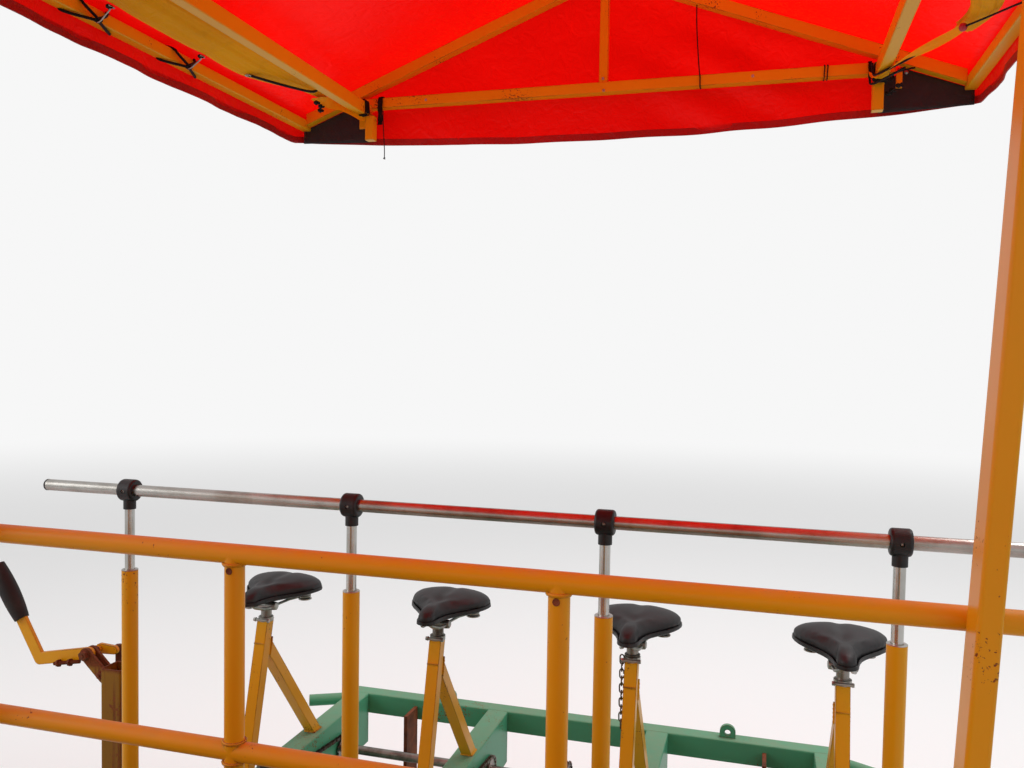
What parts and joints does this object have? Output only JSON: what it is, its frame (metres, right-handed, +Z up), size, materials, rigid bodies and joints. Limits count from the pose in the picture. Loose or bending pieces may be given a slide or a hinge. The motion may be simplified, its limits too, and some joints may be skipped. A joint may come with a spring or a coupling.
{
  "type": "pedal rail trolley",
  "caption": "Rail trolley with pedal places facing inwards at both ends, a bench compartment between guard rails, and a gabled sheet canopy on splayed posts.",
  "frame": {"origin": "centre of the footprint at the flange tips of the wheels", "axes": "+Y along the track, +X to the right, +Z up"},
  "size_m": [2.335, 4.6166, 2.6791],
  "materials": {
    "frame_green": "green gloss paint on welded steel, chipped and rusty at the edges",
    "paint_yellow": "orange-yellow gloss paint on steel tube",
    "boards": "stained softwood boards",
    "slats": "varnished pine slats",
    "chrome_tube": "polished stainless tube",
    "bar_steel": "stainless tube worn smooth by hands",
    "black_plastic": "black glass-filled plastic",
    "saddle_cover": "black stitched synthetic leather over foam",
    "bare_steel": "bright turned steel with a film of oil",
    "cast_wheel": "cast iron wheel with a bright tread and rust film",
    "pedal_black": "black moulded pedal",
    "chain_steel": "oiled roller chain",
    "rusty_steel": "rusty bar steel",
    "shoe_iron": "cast iron brake block",
    "red_sheet": "red coated canopy sheet, slightly glossy",
    "black_fabric": "black woven reinforcement",
    "curtain_yellow": "ochre-yellow coated curtain, rolled"
  },
  "bodies": {
    "trolley": {"axle_bearings": "bare_steel", "axle_chains": "chain_steel", "beam_stubs": "paint_yellow", "bench_frames": "paint_yellow", "bench_slats": "slats", "brake_posts": "paint_yellow", "brake_rigging": "rusty_steel", "brake_rods": "rusty_steel", "brake_shoes": "shoe_iron", "canopy_gable_front": "red_sheet", "canopy_gable_rear": "red_sheet", "canopy_posts": "paint_yellow", "canopy_roof": "red_sheet", "corner_patches": "black_fabric", "coupling_lugs": "frame_green", "drive_bearings": "bare_steel", "floor_boards": "boards", "frame_cross_beams": "frame_green", "frame_sills": "frame_green", "guard_rails": "paint_yellow", "handlebar_bars": "bar_steel", "handlebar_clamps": "black_plastic", "handlebar_risers": "chrome_tube", "handlebar_tubes": "paint_yellow", "pedal_chains": "chain_steel", "roof_beams": "paint_yellow", "roof_trusses": "paint_yellow", "saddle_stems": "paint_yellow", "saddles": "saddle_cover", "seat_posts": "bare_steel", "side_curtains": "curtain_yellow"},
    "wheelset_front": {"axle_front": "bare_steel", "wheels_front": "cast_wheel"},
    "wheelset_rear": {"axle_rear": "bare_steel", "wheels_rear": "cast_wheel"},
    "cranks_front": {"cranks_front": "bare_steel", "pedals_front": "pedal_black"},
    "cranks_rear": {"cranks_rear": "bare_steel", "pedals_rear": "pedal_black"},
    "cross_shaft_front": {"cross_shaft_front": "bare_steel"},
    "cross_shaft_rear": {"cross_shaft_rear": "bare_steel"},
    "brake_lever_front": {"brake_lever_front": "paint_yellow", "brake_grip_front": "black_plastic"},
    "brake_lever_rear": {"brake_lever_rear": "paint_yellow", "brake_grip_rear": "black_plastic"}
  },
  "joints": [
    {"name": "wheelset_front_roll", "type": "hinge", "parent": "trolley", "child": "wheelset_front", "pos_m": [0, 1.85, 0.177], "axis": [1, 0, 0], "continuous": true},
    {"name": "cross_shaft_front_turn", "type": "hinge", "parent": "trolley", "child": "cross_shaft_front", "pos_m": [0, 1.95, 0.426], "axis": [1, 0, 0], "continuous": true},
    {"name": "cranks_front_turn", "type": "hinge", "parent": "trolley", "child": "cranks_front", "pos_m": [0, 1.51, 0.426], "axis": [1, 0, 0], "continuous": true},
    {"name": "brake_lever_front_pull", "type": "hinge", "parent": "trolley", "child": "brake_lever_front", "pos_m": [-0.908, 1.275, 0.888], "axis": [0, 1, 0], "range_deg": [0, 32]},
    {"name": "wheelset_rear_roll", "type": "hinge", "parent": "trolley", "child": "wheelset_rear", "pos_m": [0, -1.85, 0.177], "axis": [1, 0, 0], "continuous": true},
    {"name": "cross_shaft_rear_turn", "type": "hinge", "parent": "trolley", "child": "cross_shaft_rear", "pos_m": [0, -1.95, 0.426], "axis": [1, 0, 0], "continuous": true},
    {"name": "cranks_rear_turn", "type": "hinge", "parent": "trolley", "child": "cranks_rear", "pos_m": [0, -1.51, 0.426], "axis": [1, 0, 0], "continuous": true},
    {"name": "brake_lever_rear_pull", "type": "hinge", "parent": "trolley", "child": "brake_lever_rear", "pos_m": [0.908, -1.275, 0.888], "axis": [0, -1, 0], "range_deg": [0, 32]}
  ],
  "couplings": [
    {"joint": "cross_shaft_front_turn", "follows": "wheelset_front_roll", "ratio": 1},
    {"joint": "cranks_front_turn", "follows": "wheelset_front_roll", "ratio": 0.4211},
    {"joint": "cross_shaft_rear_turn", "follows": "wheelset_rear_roll", "ratio": 1},
    {"joint": "cranks_rear_turn", "follows": "wheelset_rear_roll", "ratio": 0.4211}
  ]
}
